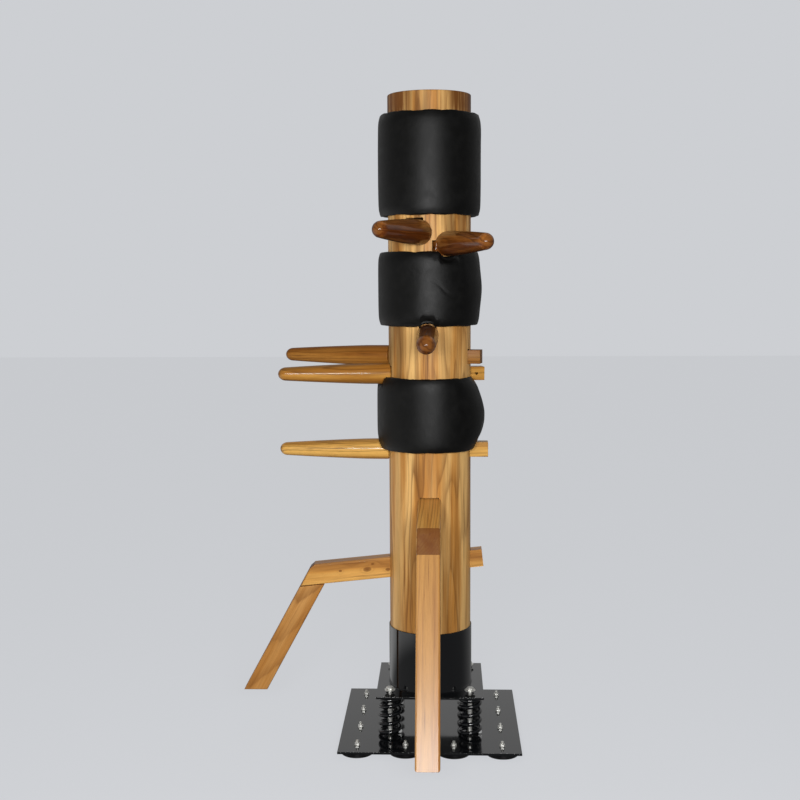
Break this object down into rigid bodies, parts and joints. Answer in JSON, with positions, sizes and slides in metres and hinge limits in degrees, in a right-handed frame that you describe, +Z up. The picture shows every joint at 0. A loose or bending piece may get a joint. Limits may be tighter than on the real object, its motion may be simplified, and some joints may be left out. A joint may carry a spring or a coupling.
{
  "type": "wooden boxing dummy",
  "caption": "Free-standing wooden boxing dummy: round trunk with padded wraps, turned arms and bent legs on a spring and suction-cup base.",
  "frame": {"origin": "the middle of the footprint of the whole object, limbs included, on the floor", "axes": "+Z up along the trunk, -Y the front that the boxer faces, -X the side that the second set of limbs points to"},
  "size_m": [0.789, 0.8358, 1.793],
  "materials": {
    "trunk_wood": "varnished, satin gloss",
    "front_arm_wood": "dark stained, gloss varnish",
    "side_arm_wood": "gloss varnish",
    "leg_wood": "satin varnish",
    "pad_leather": "black coated leather, soft sheen",
    "black_steel": "gloss black enamel",
    "spring_steel": "gloss black",
    "zinc_steel": "bright zinc plate",
    "cup_rubber": "semi-gloss black rubber"
  },
  "bodies": {
    "base": {"base_plate": "black_steel", "suction_cup_1": "cup_rubber", "suction_cup_2": "cup_rubber", "suction_cup_3": "cup_rubber", "suction_cup_4": "cup_rubber", "suction_cup_5": "cup_rubber", "suction_cup_6": "cup_rubber", "suction_cup_7": "cup_rubber", "suction_cup_8": "cup_rubber", "suction_cup_9": "cup_rubber", "suction_cup_10": "cup_rubber", "suction_cup_11": "cup_rubber", "suction_cup_12": "cup_rubber", "cup_stud_1": "zinc_steel", "cup_stud_2": "zinc_steel", "cup_stud_3": "zinc_steel", "cup_stud_4": "zinc_steel", "cup_stud_5": "zinc_steel", "cup_stud_6": "zinc_steel", "cup_stud_7": "zinc_steel", "cup_stud_8": "zinc_steel", "cup_stud_9": "zinc_steel", "cup_stud_10": "zinc_steel", "cup_stud_11": "zinc_steel", "cup_stud_12": "zinc_steel", "spring_bolt_1": "zinc_steel", "spring_bolt_2": "zinc_steel", "spring_bolt_3": "zinc_steel", "spring_bolt_4": "zinc_steel"},
    "springs": {"spring_1": "spring_steel", "spring_2": "spring_steel", "spring_3": "spring_steel", "spring_4": "spring_steel"},
    "post": {"top_plate": "black_steel", "sleeve": "black_steel", "anchor_screw": "zinc_steel", "trunk": "trunk_wood", "head_pad": "pad_leather", "chest_pad": "pad_leather", "lower_pad": "pad_leather"},
    "arm_front_left": {"front_left_arm": "front_arm_wood", "front_left_arm_pin": "zinc_steel"},
    "arm_front_right": {"front_right_arm": "front_arm_wood", "front_right_arm_pin": "zinc_steel"},
    "arm_front_middle": {"front_middle_arm": "front_arm_wood", "front_middle_arm_pin": "zinc_steel"},
    "arm_side_far": {"side_far_arm": "side_arm_wood", "side_far_arm_pin": "zinc_steel"},
    "arm_side_near": {"side_near_arm": "side_arm_wood", "side_near_arm_pin": "zinc_steel"},
    "arm_side_middle": {"side_middle_arm": "side_arm_wood", "side_middle_arm_pin": "zinc_steel"},
    "leg_front": {"front_leg_bar": "leg_wood", "front_leg_shank": "leg_wood", "front_leg_dowel": "leg_wood", "front_leg_pin": "zinc_steel"},
    "leg_side": {"side_leg_bar": "leg_wood", "side_leg_shank": "leg_wood", "side_leg_dowel": "leg_wood", "side_leg_pin": "zinc_steel"}
  },
  "joints": [
    {"name": "rock_front_back", "type": "hinge", "parent": "base", "child": "springs", "pos_m": [0.14447, 0.16789, 0.076], "axis": [1, 0, 0], "range_deg": [-1.8, 1.8], "stiffness_Nm_per_rad": 5300, "deforming": ["spring_1", "spring_2", "spring_3", "spring_4"]},
    {"name": "rock_side_side", "type": "hinge", "parent": "springs", "child": "post", "pos_m": [0.14447, 0.16789, 0.076], "axis": [0, 1, 0], "range_deg": [-1.8, 1.8], "stiffness_Nm_per_rad": 5300, "deforming": ["spring_1", "spring_2", "spring_3", "spring_4"]},
    {"name": "arm_front_left_slide", "type": "slide", "parent": "post", "child": "arm_front_left", "axis": [-0.3206, -0.9472, 0], "range_m": [0, 0.012]},
    {"name": "arm_front_right_slide", "type": "slide", "parent": "post", "child": "arm_front_right", "axis": [0.3305, -0.9438, 0], "range_m": [0, 0.012]},
    {"name": "arm_front_middle_slide", "type": "slide", "parent": "post", "child": "arm_front_middle", "axis": [0, -0.9996, -0.0297], "range_m": [0, 0.012]},
    {"name": "arm_side_far_slide", "type": "slide", "parent": "post", "child": "arm_side_far", "axis": [-0.9781, 0.2079, 0], "range_m": [0, 0.012]},
    {"name": "arm_side_near_slide", "type": "slide", "parent": "post", "child": "arm_side_near", "axis": [-0.9781, -0.2079, 0.014], "range_m": [0, 0.012]},
    {"name": "arm_side_middle_slide", "type": "slide", "parent": "post", "child": "arm_side_middle", "axis": [-1, 0, 0], "range_m": [0, 0.012]},
    {"name": "leg_front_slide", "type": "slide", "parent": "post", "child": "leg_front", "axis": [0, -0.9863, -0.165], "range_m": [0, 0.012]},
    {"name": "leg_side_slide", "type": "slide", "parent": "post", "child": "leg_side", "axis": [-0.9945, 0, -0.1045], "range_m": [0, 0.012]}
  ]
}
